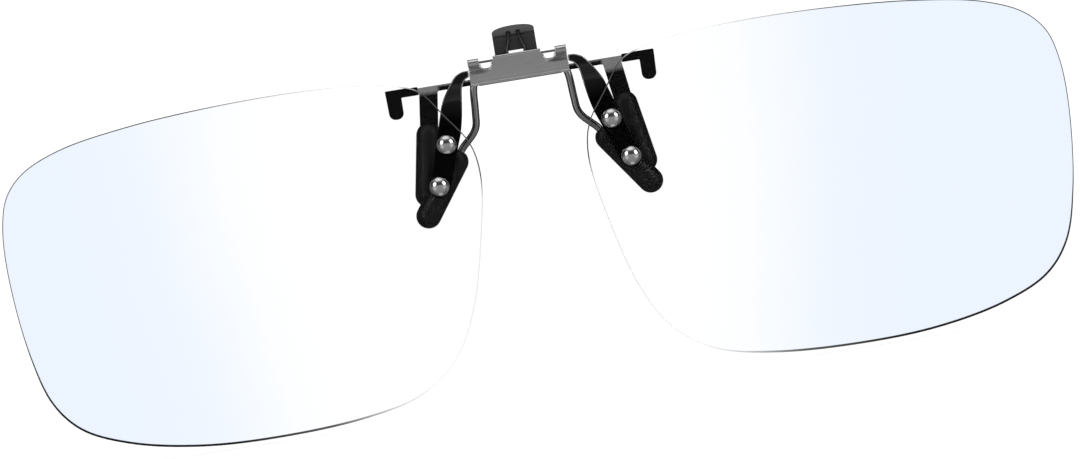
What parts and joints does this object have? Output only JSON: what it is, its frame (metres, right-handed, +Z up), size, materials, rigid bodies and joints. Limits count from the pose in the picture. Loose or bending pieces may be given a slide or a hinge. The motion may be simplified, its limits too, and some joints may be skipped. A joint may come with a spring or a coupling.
{
  "type": "clip-on flip-up spectacle lenses",
  "caption": "Clear flip-up lenses on a sprung clip that grips spectacles at the bridge: sleeved jaws, hooked rear plate, thumb tab and a lens hinge in the front plate.",
  "frame": {"origin": "middle of the grip, halfway between the closed front and rear jaw sleeves on the centre line, at the height where the sleeves meet, lenses down", "axes": "+X to the wearer's left, -Y to the front (the side that faces the viewer), +Z up"},
  "size_m": [0.1348, 0.0114, 0.0462],
  "materials": {
    "lens": "clear, polished, faint blue",
    "gunmetal": "dark gunmetal plate, polished edges",
    "plate": "satin plated sheet",
    "steel": "bright drawn wire and sheet",
    "chrome": "polished",
    "rubber": "smooth black, soft gloss",
    "nylon": "translucent natural"
  },
  "bodies": {
    "front_clip": {"front_plate": "plate", "front_leg_left": "steel", "front_leg_right": "steel", "front_sleeve_left": "rubber", "front_sleeve_right": "rubber", "hinge_pin": "steel", "torsion_spring_left": "steel", "torsion_spring_right": "steel"},
    "rear_jaw": {"rear_plate": "steel", "rear_sleeve_left": "rubber", "rear_sleeve_right": "rubber", "hook_cap_left": "rubber", "hook_cap_right": "rubber", "thumb_pad": "rubber"},
    "lenses": {"lens_left": "lens", "lens_right": "lens", "lens_arm_left": "gunmetal", "lens_arm_right": "gunmetal", "flip_shaft": "steel", "rivet_upper_left": "chrome", "rivet_upper_right": "chrome", "rivet_lower_left": "chrome", "rivet_lower_right": "chrome", "lens_washer_upper_left": "nylon", "lens_washer_upper_right": "nylon", "lens_washer_lower_left": "nylon", "lens_washer_lower_right": "nylon", "rivet_collar_upper_left": "steel", "rivet_collar_upper_right": "steel", "rivet_collar_lower_left": "steel", "rivet_collar_lower_right": "steel"}
  },
  "joints": [
    {"name": "lens_flip", "type": "hinge", "parent": "front_clip", "child": "lenses", "pos_m": [0, -0.0021, 0.01165], "axis": [-1, 0, 0], "range_deg": [0, 95]},
    {"name": "clamp_open", "type": "hinge", "parent": "front_clip", "child": "rear_jaw", "pos_m": [0, -0.00255, 0.0128], "axis": [1, 0, 0], "range_deg": [0, 24], "stiffness_Nm_per_rad": 0.05, "springref_deg": -11.46, "deforming": ["torsion_spring_left", "torsion_spring_right"]}
  ]
}
